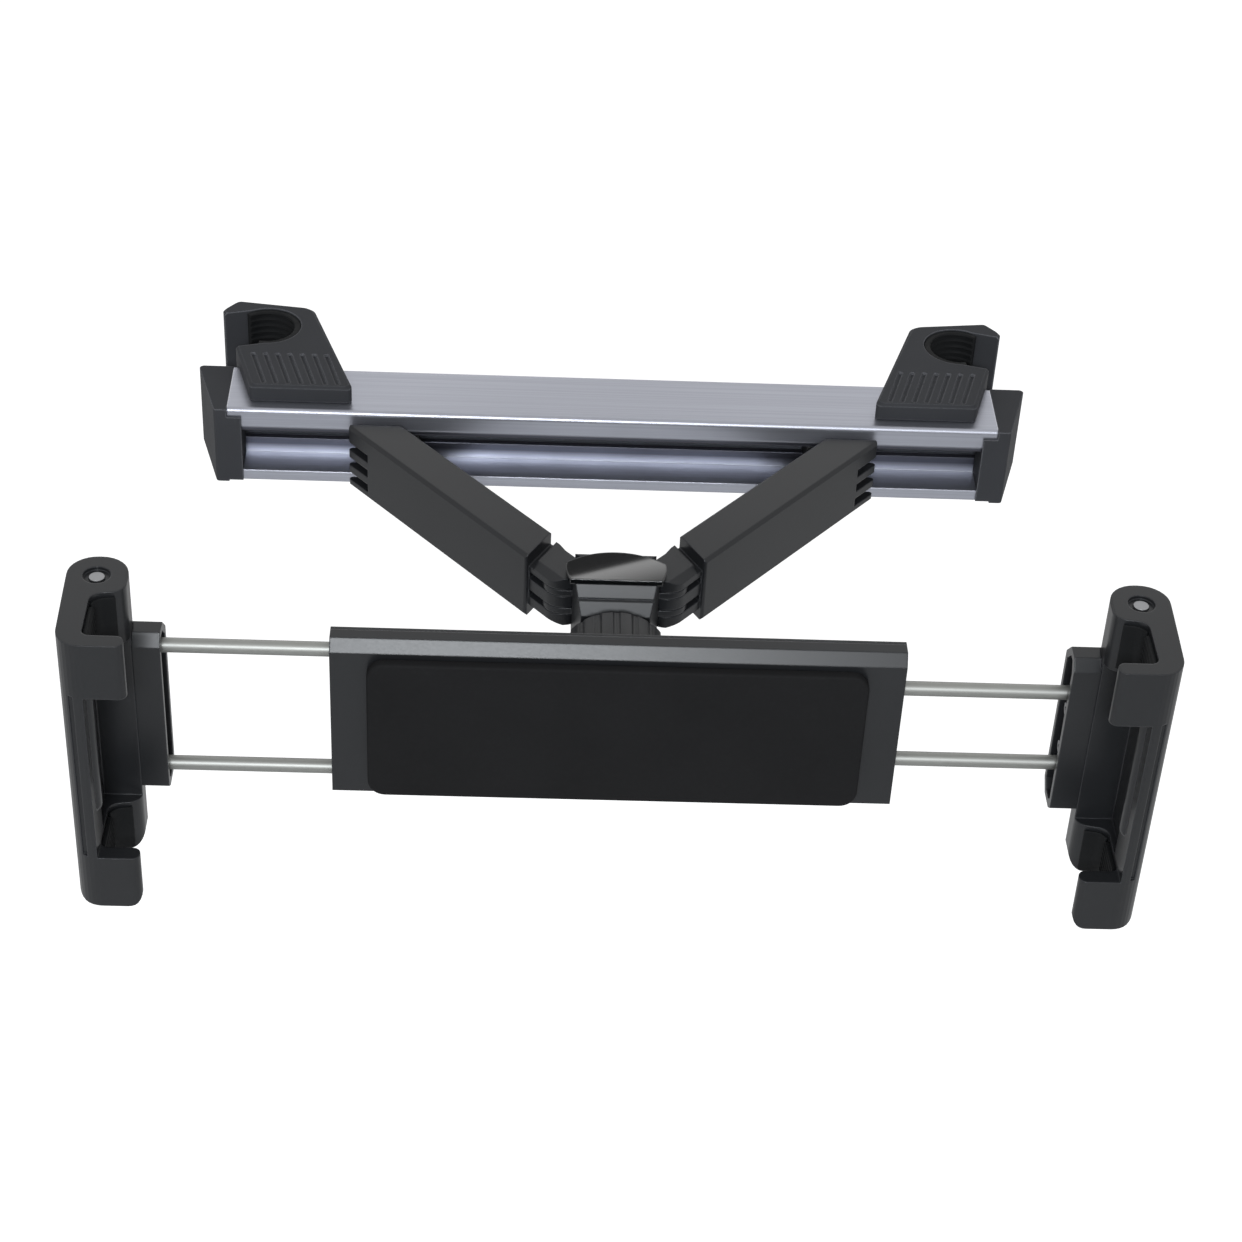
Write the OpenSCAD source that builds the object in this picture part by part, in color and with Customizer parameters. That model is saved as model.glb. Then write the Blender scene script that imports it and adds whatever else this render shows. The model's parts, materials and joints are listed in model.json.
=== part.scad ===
// Headrest tablet mount: a rail with two post hooks, two folding arms, a ball joint
// and a tablet holder with two sliding jaws. The origin is midway between the two
// headrest posts, at half the rail's height. The tablet side faces -Y.

/* [Rail] */
// Length of the rail without its caps
rail_l = 172; // [165:1:200]
// Depth of the rail from front to back
rail_d = 17.7; // [17:0.1:22]
// Height of the rail
rail_h = 19; // [18:0.5:24]
// Depth of the open front channel
channel_d = 7.7; // [7:0.1:8.5]
// Height of the front channel's mouth
channel_h = 10.3; // [9.5:0.1:11]
// Height of the lower lip of the front channel
lower_lip_h = 2.9; // [2.4:0.1:3.5]
// Thickness of the lips that hold a runner
slot_lip = 1.6; // [1.2:0.1:2]
// Height of the mouth of each T-slot
slot_mouth_h = 5.6; // [4.8:0.1:6]
// Height of each T-slot behind its lips
slot_h = 9; // [8:0.1:9.6]
// Depth of the front T-slot behind its lips
slot_d = 2.2; // [2:0.1:2.4]
// Thickness of the web between the two T-slots
web_t = 1.2; // [1:0.1:1.6]
// Gap between a runner and the rail
run_gap = 0.2; // [0.15:0.01:0.3]

/* [End caps] */
// Width of the cap beyond the rail at the front
cap_front_w = 2.8; // [2:0.1:5]
// Width of the cap beyond the rail at the back
cap_back_w = 8; // [6:0.1:10]
// Length of the plug that closes the channel
cap_plug_l = 3.15; // [2.5:0.05:5]

/* [Post hooks] */
// Distance between the axes of the two posts
post_spacing = 158.6; // [150:0.2:165]
// Radius of a headrest post
post_r = 6; // [5:0.1:6.5]
// Distance from the back of the rail to the post axis
post_gap = 11.2; // [11:0.1:13]
// Thickness of the rubber lining
liner_t = 1.6; // [1.2:0.1:1.8]
// Thickness of the hook wall behind the post
hook_lip = 3.2; // [1.6:0.1:4]
// Thickness of the hook's top plate
hook_plate_t = 4; // [3:0.1:5]
// Width of the hook plate along the rail
hook_w = 22.9; // [21:0.1:26]
// Lean of the hook towards the outside
hook_lean = 16; // [10:1:18]
// Setback of the plate from the rail's front
hook_setback = 3.2; // [2:0.1:6]
// Number of finger grooves
groove_n = 7; // [4:1:7]
// Distance between finger grooves
groove_pitch = 2.75; // [2.4:0.05:3]
// Travel of each hook towards the middle
hook_travel = 25; // [15:1:28]

/* [Arms] */
// Distance between the runner pins
slider_spacing = 101.2; // [96:0.2:110]
// Distance of the runner pins in front of the rail
slider_pin_y = 4.75; // [4.5:0.05:6]
// Distance between the hub pins
hub_pin_spacing = 22; // [20:0.5:26]
// Distance of the hub pins in front of the rail
hub_pin_y = 51.2; // [46:0.2:56]
// Width of an arm
arm_w = 10; // [9:0.2:11]
// Height of an arm
arm_h = 15.8; // [15:0.1:17]
// Drop of the arm's top below the rail's top
arm_drop = 2; // [1.5:0.1:3]
// Gap between the arm ends and the rail
arm_gap = 1.9; // [1.5:0.1:2.5]
// Distance from the hub pin to the end of the box section
neck_l = 7.85; // [7:0.05:9]
// Angle of the box section's end at the hub, from the rail
neck_cut = 61; // [56:1:70]
// Chamfer along the arm's edges
arm_chamfer = 0.7; // [0.4:0.1:1.2]
// Wall thickness of an arm
arm_wall = 1.8; // [1.4:0.1:2.2]
// Radius of the pivot pins
pin_r = 1.5; // [1.2:0.1:1.8]
// Running clearance of pins and rods
pin_fit = 0.05; // [0.03:0.01:0.09]
// Thickness of a fin of the runner
shoe_fin_t = 1.7; // [1.4:0.1:1.9]
// Distance between the fins of the runner
shoe_fin_pitch = 3.9; // [3.6:0.1:4]
// Gap beside the fins
fin_gap = 0.2; // [0.15:0.01:0.3]
// Thickness of a neck fin
neck_fin_t = 2.8; // [2.4:0.1:3]
// Distance between neck fins
neck_fin_pitch = 4.6; // [4.4:0.1:4.9]
// Width of the groove between the box section and the neck
neck_groove = 1.8; // [1.2:0.1:2.4]
// Distance of the neck's shoulder from the box section
neck_shoulder = 3; // [2.4:0.1:4]
// Radius of the round fin ends at the hub
hub_fin_r = 4.2; // [3.8:0.1:4.4]

/* [Hub] */
// Radius of the hub cap
hub_cap_r = 10.5; // [9.5:0.1:12]
// Thickness of the hub cap
hub_cap_t = 1.2; // [0.8:0.1:2.2]
// Distance of the hub's front face in front of the rail
hub_front_y = 61.2; // [58:0.2:66]

/* [Ball joint] */
// Distance of the ball centre in front of the rail
ball_y = 72.5; // [70:0.1:80]
// Drop of the ball centre below the rail's top
ball_drop = 15.2; // [12:0.1:16]
// Radius of the ball
ball_r = 5.5; // [5:0.1:5.7]
// Radius of the stem of the ball
stem_r = 3; // [2.6:0.1:3.3]
// Distance from the ball centre to the holder's back
socket_l = 8.7; // [8.5:0.1:12]
// Thickness of the friction seat
seat_t = 1.05; // [0.9:0.05:1.2]
// Outer radius of the socket
socket_r = 8.2; // [8:0.1:8.5]
// Outer radius of the collar nut
collar_r = 11.2; // [10.4:0.1:11.6]
// Number of flutes round the collar nut
flute_n = 18; // [12:1:20]

/* [Holder] */
// Length of the holder between the jaws
holder_l = 113.6; // [105:0.2:125]
// Height of the holder
holder_h = 40.2; // [38:0.2:46]
// Depth of the holder
holder_d = 9; // [8.6:0.1:10]
// Height of the front bevel
bevel_h = 2.5; // [2:0.1:3]
// Height of the lower front bevel
low_bevel_h = 1.3; // [1.2:0.1:2]
// Depth of the front bevel
bevel_d = 1.8; // [1.4:0.1:2.2]
// Depth of the rear bevel
rear_bevel = 3.7; // [3:0.1:3.9]
// Wall thickness of the holder
holder_wall = 1.5; // [1.2:0.1:1.6]
// Length of the rubber pad
pad_l = 99; // [80:1:102]
// Height of the rubber pad
pad_h = 33.4; // [28:0.1:34]
// Thickness of the rubber pad
pad_t = 2.6; // [2:0.1:4]
// Corner radius of the rubber pad
pad_r = 3.5; // [2:0.1:6]
// Thickness of the end plates
end_plate_t = 2.4; // [2:0.1:3]
// Setback of the end plates in the shells
end_setback = 0.8; // [0.4:0.1:1.2]
// Radius of the rods
rod_r = 1.5; // [1.2:0.1:1.6]
// Distance between the outer pair of rods
outer_rods = 30.1; // [29:0.1:30.4]
// Distance between the inner pair of rods
inner_rods = 18.2; // [17:0.1:19]
// Length of a rod end collar
collar_l = 3; // [2:0.1:4]
// Thickness of a rod end collar
collar_t = 0.5; // [0.4:0.1:0.6]
// Length of a rod guide
guide_l = 8; // [6:0.5:10]

/* [Jaws] */
// Gap between the holder and each jaw block
jaw_open = 32.9; // [32.6:0.1:40]
// Travel of each jaw away from the holder
jaw_out = 30; // [20:1:30]
// Width of a jaw block
block_w = 5.5; // [5:0.1:8]
// Width of a jaw
jaw_w = 12.1; // [11:0.1:14]
// Height of a jaw
jaw_h = 65.6; // [60:0.2:72]
// Height of the upper and lower lips
jaw_lip_h = 12.7; // [10:0.1:15]
// Thickness of the lips
jaw_lip_t = 3.4; // [2.6:0.1:4]
// Width of the tablet slot
jaw_slot = 13.4; // [11:0.1:15]
// Thickness of the outer wall
jaw_wall = 5.6; // [4.6:0.1:6.2]
// Overhang of the lip past the column
lip_reach = 1.7; // [1:0.1:3]
// Depth of the column behind the slot
column_d = 11.7; // [11:0.1:13]
// Thickness of the grips
grip_t = 1.2; // [0.8:0.1:1.6]
// Radius of the jaw pins
jaw_pin_r = 1.5; // [1.2:0.1:1.9]

/* [Hidden] */

$fn = 48;
e = 1;
dark = "#3a3b3d";
black = "#232324";
gloss = "#1a1b1c";
metal = "#a0a2ac";
steel = "#c4c4c6";

rail_y = -(rail_d + post_gap);
rail_z = rail_h / 2;
half_rail = rail_l / 2;
post_x = post_spacing / 2;
post_y = rail_d + post_gap;
channel_bottom = -(rail_h - lower_lip_h);
channel_mid = channel_bottom + channel_h / 2;
slot_mid = -rail_h / 2;
front_slot_y = channel_d + slot_lip;
back_slot_y = front_slot_y + slot_d + web_t;
back_slot_end = rail_d - slot_lip;

// Share of the notch's radius that its mouth keeps
mouth = 0.96;
notch_r = post_r + liner_t + pin_fit;
hook_back_y = post_y + notch_r + hook_lip;
hook_slope = tan(hook_lean);
hook_back_fall = 2.2;
hook_horn = 1.4;
hook_horn_l = 6.6;
hook_lift = 0.3;
hook_low = -rail_h + 1.5;
hook_out_x = post_x + notch_r + hook_horn;
hook_front_out_x = hook_out_x - hook_slope * (post_y - hook_setback);
hook_front_in_x = hook_front_out_x - hook_w;
tongue_l = 20;
tongue_out_x = half_rail - hook_lift;
groove_w = 0.9;
groove_l = 13;
groove_t = 0.5;
groove_from = 3;

slider_x = slider_spacing / 2;
hub_x = hub_pin_spacing / 2;
arm_dx = slider_x - hub_x;
arm_dy = hub_pin_y - slider_pin_y;
arm_l = norm([arm_dx, arm_dy]);
arm_angle = atan2(arm_dy, arm_dx);
arm_bottom = -(arm_drop + arm_h);
fin_mid = channel_mid;
neck_top = -3.6;
neck_h = 2 * neck_fin_pitch + neck_fin_t;
neck_low = neck_top - neck_h;
neck_mid = neck_top - neck_h / 2;
pin_cover = 1.2;
hub_rise = 0.6;
brim_r = collar_r - 1.4;
tab_t = neck_fin_pitch - neck_fin_t - 2 * fin_gap;
fin_swing = 0.5;
shoe_l = 14;
shoe_front = 0.6;
shoe_fin_r = pin_r + 2.2;
shoe_pin_l = 0.8;

holder_mid = -ball_drop;
holder_y = ball_y + socket_l + holder_d;
holder_back_y = -(holder_y - holder_d);
rod_y = -(holder_y - holder_d / 2);
half_holder = holder_l / 2;
jaw_x = half_holder + jaw_open;
column_x = jaw_x + block_w;
jaw_out_x = column_x + jaw_w;
rod_end_x = half_holder - jaw_open - end_setback - end_plate_t - 0.6;
guide_x = rod_end_x - collar_l - jaw_out - 0.6;
jaw_top = holder_mid + jaw_h / 2;
jaw_bottom = holder_mid - jaw_h / 2;
jaw_back_y = holder_back_y;
slot_back_y = jaw_back_y - column_d;
slot_front_y = slot_back_y - jaw_slot;
jaw_front_y = slot_front_y - jaw_lip_t;
jaw_wall_x = jaw_out_x - jaw_wall;
pin_column_x = column_x + jaw_w / 2;
pin_column_y = jaw_back_y - jaw_w / 2;

// A corner of an outline, rounded with radius r
function unit(v) = v / norm(v);
function arc_corner(a, b, c, r, n) =
    let (u = unit(a - b), v = unit(c - b), half = acos(u * v) / 2)
    let (m = b + unit(u + v) * (r / sin(half)))
    let (s = b + u * (r / tan(half)) - m, t = b + v * (r / tan(half)) - m)
    let (from = atan2(s.y, s.x), turn = (atan2(t.y, t.x) - from + 540) % 360 - 180)
    [for (i = [0:n]) m + r * [cos(from + turn * i / n), sin(from + turn * i / n)]];
// An outline whose corners have the radii in r
function rounded(p, r, n = 6) =
    let (k = len(p))
    [for (i = [0:k - 1]) each (r[i] <= 0 ? [p[i]] :
        arc_corner(p[(i + k - 1) % k], p[i], p[(i + 1) % k], r[i], n))];

module at_rail() { translate([0, rail_y, rail_z]) children(); }
module side(s) { if (s < 0) mirror([1, 0, 0]) children(); else children(); }
// A profile in Y and Z, extruded along X between two places
module along_x(x0, x1) {
    translate([x0, 0, 0]) rotate([90, 0, 90]) linear_extrude(x1 - x0) children();
}
// A turned shape whose axis runs forward from the ball centre
module at_ball() { translate([0, -ball_y, -ball_drop]) rotate([90, 0, 0]) children(); }

// Rail
edge_step = 0.5;
edge_step_h = 1.3;
module rail_profile() {
    difference() {
        polygon(rounded([[0, 0], [rail_d, 0], [rail_d, -rail_h], [0, -rail_h]], [1, 0.6, 0.6, 0.8]));
        translate([-e, channel_bottom]) square([channel_d + e, channel_h]);
        translate([-e, channel_bottom + channel_h]) square([e + edge_step, edge_step_h]);
        translate([channel_d - e, slot_mid - slot_mouth_h / 2]) square([slot_lip + 2 * e, slot_mouth_h]);
        translate([front_slot_y, slot_mid - slot_h / 2]) square([slot_d, slot_h]);
        translate([back_slot_y, slot_mid - slot_h / 2]) square([back_slot_end - back_slot_y, slot_h]);
        translate([back_slot_end - e, slot_mid - slot_mouth_h / 2]) square([slot_lip + 2 * e, slot_mouth_h]);
    }
}
module rail_extrusion() { color(metal) at_rail() along_x(-half_rail, half_rail) rail_profile(); }

// End caps
module end_cap(s) {
    lap = 0.5;
    skirt_t = 0.4;
    color(dark) at_rail() side(s) union() {
        translate([0, 0, -rail_h]) linear_extrude(rail_h)
            polygon(rounded([[half_rail, -lap], [half_rail + cap_front_w, -lap],
                [half_rail + cap_back_w, rail_d], [half_rail, rail_d]], [0, 0.8, 1, 0]));
        translate([half_rail - cap_plug_l, -lap, -rail_h + skirt_t])
            cube([cap_plug_l + lap, skirt_t, rail_h - arm_drop - skirt_t]);
        translate([half_rail - cap_plug_l, -skirt_t, channel_bottom + run_gap])
            cube([cap_plug_l + lap, channel_d - run_gap + skirt_t, channel_h - 2 * run_gap]);
    }
}
module left_end_cap() { end_cap(-1); }
module right_end_cap() { end_cap(1); }

// Post hooks
module hook_plan(inset) {
    b = hook_back_y - inset;
    f = hook_setback + inset;
    polygon(rounded([
        [hook_front_in_x + inset, f], [hook_front_out_x - inset, f],
        [hook_out_x + hook_slope * hook_horn_l - inset, post_y + hook_horn_l],
        [hook_out_x - e - inset, b],
        [hook_front_in_x + hook_slope * hook_back_y + inset, b - hook_back_fall]], [1.2, 1.2, 1.6, 1.2, 3]));
}
module notch_plan(r) {
    translate([post_x, post_y]) {
        circle(r);
        rotate(-hook_lean) translate([0, -mouth * r]) square([hook_w, 2 * mouth * r]);
    }
}
module hook(s) {
    chamfer = 0.6;
    block_y = rail_d + hook_lift;
    color(dark) at_rail() side(s) difference() {
        union() {
            translate([0, 0, hook_lift]) hull() {
                linear_extrude(hook_plate_t - chamfer) hook_plan(0);
                linear_extrude(hook_plate_t) hook_plan(chamfer);
            }
            translate([0, 0, hook_low]) linear_extrude(hook_lift + e - hook_low) intersection() {
                hook_plan(0);
                translate([0, block_y]) square([rail_l, rail_l]);
            }
            translate([tongue_out_x - tongue_l, 0, 0]) {
                translate([0, back_slot_end - e - run_gap, slot_mid - slot_mouth_h / 2 + run_gap])
                    cube([tongue_l, slot_lip + 2 * e, slot_mouth_h - 2 * run_gap]);
                translate([0, back_slot_y + run_gap, slot_mid - slot_h / 2 + run_gap])
                    cube([tongue_l, back_slot_end - back_slot_y - 2 * run_gap, slot_h - 2 * run_gap]);
            }
        }
        translate([0, 0, -rail_h]) linear_extrude(2 * rail_h) notch_plan(notch_r);
        for (i = [0:groove_n - 1])
            translate([hook_front_in_x + groove_from + i * groove_pitch, hook_setback + hook_horn,
                hook_lift + hook_plate_t - groove_t])
                rotate([0, 0, -hook_lean]) cube([groove_w, groove_l, e]);
    }
}
module left_hook() { hook(-1); }
module right_hook() { hook(1); }
module hook_liner(s) {
    color(black) at_rail() side(s) translate([0, 0, hook_low])
        linear_extrude(hook_plate_t - hook_low) difference() {
            translate([post_x, post_y]) circle(post_r + liner_t);
            notch_plan(post_r);
        }
}
module left_hook_liner() { hook_liner(-1); }
module right_hook_liner() { hook_liner(1); }

// Runners in the rail
module slider_shoe(s) {
    color(dark) at_rail() side(s) translate([slider_x, 0, 0]) difference() {
        union() {
            translate([-shoe_l / 2, shoe_front, channel_bottom + run_gap])
                cube([shoe_l, channel_d - shoe_front - run_gap, channel_h - 2 * run_gap]);
            translate([-shoe_l / 2, channel_d - e, slot_mid - slot_mouth_h / 2 + run_gap])
                cube([shoe_l, slot_lip + e + 2 * run_gap, slot_mouth_h - 2 * run_gap]);
            translate([-shoe_l / 2, front_slot_y + run_gap, slot_mid - slot_h / 2 + run_gap])
                cube([shoe_l, slot_d - 2 * run_gap, slot_h - 2 * run_gap]);
            for (k = [-1:1]) translate([0, -slider_pin_y, fin_mid + k * shoe_fin_pitch - shoe_fin_t / 2]) {
                cylinder(r = shoe_fin_r, h = shoe_fin_t);
                translate([-shoe_fin_r, 0, 0]) cube([2 * shoe_fin_r, slider_pin_y + e, shoe_fin_t]);
            }
        }
        translate([0, -slider_pin_y, -rail_h]) cylinder(r = pin_r + pin_fit, h = rail_h);
    }
}
module left_slider_shoe() { slider_shoe(-1); }
module right_slider_shoe() { slider_shoe(1); }
module slider_pin(s) {
    color(steel) at_rail() side(s) translate([slider_x, -slider_pin_y, arm_bottom + shoe_pin_l])
        cylinder(r = pin_r, h = arm_h - 2 * shoe_pin_l);
}
module left_slider_pin() { slider_pin(-1); }
module right_slider_pin() { slider_pin(1); }

// Arms, drawn from the runner pin along X with Y towards the rail side
module at_arm() {
    translate([slider_x, -slider_pin_y, 0]) mirror([1, 0, 0]) rotate([0, 0, -arm_angle]) children();
}
function rail_cut(y) = (arm_gap - slider_pin_y + y * cos(arm_angle)) / sin(arm_angle);
function hub_cut(y) = arm_l - neck_l + y / tan(neck_cut + arm_angle);
module arm_plan() {
    h = arm_w / 2;
    polygon(rounded([[rail_cut(-h), -h], [rail_cut(h), h], [hub_cut(h), h], [hub_cut(-h), -h]],
        [arm_chamfer, arm_chamfer, 0.5, 0.5]));
}
module arm_section() {
    h = arm_w / 2;
    c = arm_chamfer;
    polygon([[-h + c, -arm_drop], [h - c, -arm_drop], [h, -arm_drop - c], [h, arm_bottom + c],
        [h - c, arm_bottom], [-h + c, arm_bottom], [-h, arm_bottom + c], [-h, -arm_drop - c]]);
}
// Plan of the neck that reaches from the box section to the hub pin
module neck_plan() {
    h = arm_w / 2;
    back = h - 0.3;
    front = h - 0.9;
    root = 2;
    polygon(rounded([[hub_cut(back) - root, back], [hub_cut(back) + neck_shoulder, back],
        [arm_l - hub_fin_r, hub_fin_r], [arm_l, hub_fin_r], [arm_l, -hub_fin_r],
        [hub_cut(-front) + e, -front], [hub_cut(-front) - root, -front]], [0, 1.2, 2, 0, 0, 1, 0]));
    translate([arm_l, 0]) circle(hub_fin_r);
}
// Room beside the neck's fins for the hub's tabs, open towards the front
module tab_room_plan() {
    wall_gap = 0.4;
    room_in = 2;
    translate([arm_l, 0]) circle(hub_fin_r + fin_swing);
    polygon([[hub_cut(-arm_w) + wall_gap, -arm_w], [arm_l, -arm_w], [arm_l, -room_in],
        [hub_cut(-room_in) + wall_gap, -room_in]]);
}
module neck() {
    h = arm_w / 2 + e;
    groove_d = 1.5;
    groove_back = 3;
    slope_in = 3.4;
    top_slope = 2.7;
    low_slope = 1.6;
    difference() {
        translate([0, 0, neck_low]) linear_extrude(neck_h) neck_plan();
        translate([0, 0, neck_top - groove_d]) linear_extrude(groove_d + e) polygon([
            [hub_cut(-h) - groove_back, -h], [hub_cut(-h) + neck_groove, -h],
            [hub_cut(h) + neck_groove, h], [hub_cut(h) - groove_back, h]]);
        along_x(arm_l - 2 * neck_l, arm_l + neck_l) {
            polygon([[slope_in - h, neck_top], [slope_in - h, neck_top + e], [-h, neck_top + e],
                [-h, neck_top - top_slope]]);
            polygon([[slope_in - h, neck_low], [slope_in - h, neck_low - e], [-h, neck_low - e],
                [-h, neck_low + low_slope]]);
        }
        for (k = [-0.5, 0.5]) translate([0, 0, neck_mid + k * neck_fin_pitch - tab_t / 2 - fin_gap])
            linear_extrude(tab_t + 2 * fin_gap) tab_room_plan();
    }
}
// Pocket under the arm, closed by a cover
pocket_from = 6.5;
pocket_to = arm_l - neck_l - arm_w / 2;
cover_rim = 0.8;
cover_fit = 0.1;
cover_inset = 0.2;
module arm_pocket(grow, z0, h) {
    translate([pocket_from - grow, -arm_w / 2 + arm_wall - grow, z0])
        cube([pocket_to - pocket_from + 2 * grow, arm_w - 2 * arm_wall + 2 * grow, h]);
}
module arm(s) {
    shoe_swing = 3.2;
    color(dark) at_rail() side(s) at_arm() difference() {
        union() {
            intersection() {
                translate([0, 0, arm_bottom]) linear_extrude(arm_h) arm_plan();
                along_x(-arm_w, arm_l) arm_section();
            }
            neck();
        }
        for (k = [-1:1]) translate([0, 0, fin_mid + k * shoe_fin_pitch - shoe_fin_t / 2 - fin_gap])
            linear_extrude(shoe_fin_t + 2 * fin_gap) {
                circle(shoe_fin_r + fin_swing);
                translate([-arm_w, -arm_w]) square([arm_w, 2 * arm_w]);
                square([shoe_swing, arm_w]);
            }
        translate([0, 0, arm_bottom - e])
            cylinder(r = pin_r + pin_fit, h = arm_h - shoe_pin_l + fin_gap + e);
        translate([arm_l, 0, neck_low - e]) cylinder(r = pin_r + pin_fit, h = neck_h - pin_cover + e);
        arm_pocket(0, arm_bottom - e, arm_h - arm_wall + e);
        arm_pocket(cover_rim, arm_bottom - e, arm_wall + e);
    }
}
module left_arm() { arm(-1); }
module right_arm() { arm(1); }
module arm_cover(s) {
    color(dark) at_rail() side(s) at_arm() arm_pocket(cover_rim - cover_fit,
        arm_bottom + cover_inset, arm_wall - cover_inset);
}
module left_arm_cover() { arm_cover(-1); }
module right_arm_cover() { arm_cover(1); }

// Hub
hub_brow = 6.6;
hub_half = hub_x - 2;
module hub_side_profile(top, low) {
    back = -hub_pin_y + 4;
    brow = -hub_pin_y - hub_brow;
    front = -hub_front_y;
    groove_top = top - 2.5;
    groove_low = groove_top - 0.6;
    nose_top = top - 5.8;
    polygon([[back, top], [brow, top], [brow - 1.5, groove_top], [brow - 1.2, groove_top - 0.3],
        [brow - 1.8, groove_low], [front, nose_top], [front, low + 1], [front + 1, low], [back, low]]);
}
module hub_plan() {
    cheek = 1.8;
    cheek_y = -hub_pin_y - 5;
    polygon([[-hub_half, -hub_pin_y + arm_w], [hub_half, -hub_pin_y + arm_w], [hub_half, cheek_y],
        [hub_half - cheek, -hub_front_y], [cheek - hub_half, -hub_front_y], [-hub_half, cheek_y]]);
}
module hub_body() {
    top = neck_top + hub_rise;
    low = -rail_h - run_gap;
    stem_bore_l = 8;
    color(dark) at_rail() difference() {
        union() {
            intersection() {
                along_x(-hub_half, hub_half) hub_side_profile(top, low);
                translate([0, 0, low]) linear_extrude(top - low) hub_plan();
            }
            for (k = [-0.5, 0.5]) translate([0, -hub_pin_y, neck_mid + k * neck_fin_pitch - tab_t / 2])
                hub_tab(hub_fin_r, tab_t);
        }
        for (x = [-hub_x, hub_x]) translate([x, -hub_pin_y, 0]) {
            translate([0, 0, low - e]) cylinder(r = pin_r + pin_fit, h = top - low - pin_cover);
            for (k = [-1:1]) translate([0, 0, neck_mid + k * neck_fin_pitch - neck_fin_t / 2 - fin_gap])
                cylinder(r = hub_fin_r + fin_swing, h = neck_fin_t + 2 * fin_gap);
            translate([0, 0, neck_top]) cylinder(r = hub_fin_r + fin_swing, h = hub_rise + e);
        }
        at_ball() translate([0, 0, hub_front_y - ball_y - stem_bore_l])
            cylinder(r = stem_r + pin_fit, h = stem_bore_l + e);
    }
}
module hub_tab(r, t) {
    for (x = [-hub_x, hub_x]) translate([x, 0, 0]) cylinder(r = r, h = t);
    translate([-hub_x, -r, 0]) cube([2 * hub_x, 2 * r - fin_swing, t]);
}
module hub_cap() {
    cap_shift = 2.2;
    cap_back = 3.3;
    cap_back_r = 16;
    color(gloss) at_rail() translate([0, 0, neck_top + hub_rise]) linear_extrude(hub_cap_t) intersection() {
        translate([0, -hub_pin_y - cap_shift]) circle(hub_cap_r);
        translate([0, -hub_pin_y + cap_back - cap_back_r]) circle(cap_back_r);
        translate([-hub_cap_r, -hub_pin_y - hub_brow]) square(2 * hub_cap_r);
    }
}
module hub_pin(s) {
    low = neck_low + fin_gap;
    color(steel) at_rail() side(s) translate([hub_x, -hub_pin_y, low])
        cylinder(r = pin_r, h = neck_top - pin_cover - 0.2 - low);
}
module left_hub_pin() { hub_pin(-1); }
module right_hub_pin() { hub_pin(1); }

// Ball joint, turned about an axis that runs forward from the ball centre
seat_r = ball_r + pin_fit + seat_t;
seat_l = 5.2;
cavity_r = seat_r + pin_fit;
socket_back = -3.6;
socket_face = -holder_back_y - ball_y - run_gap;
boss_r = 4;
boss_l = run_gap + holder_wall + run_gap;
brim_t = 2.6;
screw_r = 0.8;
screw_in = 1.2;
module ball_stud() {
    stem_in = 7.5;
    color(steel) at_rail() at_ball() union() {
        sphere(ball_r);
        translate([0, 0, hub_front_y - ball_y - stem_in])
            cylinder(r = stem_r, h = ball_y - hub_front_y + stem_in);
    }
}
module ball_seat() {
    color(black) at_rail() at_ball() rotate_extrude() intersection() {
        difference() {
            circle(seat_r);
            circle(ball_r + pin_fit);
        }
        translate([0, -seat_l / 2]) square([socket_r, seat_l]);
    }
}
module ball_socket() {
    color(dark) at_rail() at_ball() rotate_extrude() difference() {
        union() {
            translate([0, socket_back]) square([socket_r, socket_face - socket_back]);
            translate([0, socket_face - brim_t]) square([brim_r, brim_t]);
            square([boss_r, socket_face + boss_l]);
        }
        translate([0, cavity_r + e]) square([screw_r + 0.02, socket_face]);
        circle(cavity_r);
        translate([-socket_r, -socket_r]) square([socket_r, 3 * socket_r]);
    }
}
module swivel_screw() {
    washer_t = 1;
    head_r = 2;
    head_t = 1.8;
    color(steel) at_rail() at_ball() union() {
        translate([0, 0, socket_face + boss_l]) cylinder(r = boss_r + head_t, h = washer_t);
        translate([0, 0, socket_face + boss_l]) cylinder(r = head_r, h = head_t);
        translate([0, 0, cavity_r + screw_in])
            cylinder(r = screw_r, h = socket_face + boss_l - cavity_r - screw_in);
    }
}
module collar_nut() {
    rear = -7.5;
    front = socket_face - brim_t - fin_gap;
    mouth_r = 6.6;
    chamfer = 0.8;
    flute_r = 0.9;
    flute_out = 0.35;
    color(dark) at_rail() at_ball() difference() {
        rotate_extrude() difference() {
            polygon([[0, rear], [collar_r - chamfer, rear], [collar_r, rear + chamfer],
                [collar_r, front - chamfer / 2], [collar_r - chamfer / 2, front], [0, front]]);
            translate([-e, socket_back - fin_gap]) square([socket_r + pin_fit + e, collar_r]);
            polygon([[-e, rear - e], [mouth_r, rear - e], [mouth_r, rear],
                [socket_r + pin_fit, socket_back - fin_gap], [-e, socket_back]]);
        }
        for (i = [0:flute_n - 1]) rotate([0, 0, 360 * (i + 0.5) / flute_n])
            translate([collar_r + flute_out, 0, rear - e]) cylinder(r = flute_r, h = 2 * collar_r, $fn = 16);
    }
}

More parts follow.
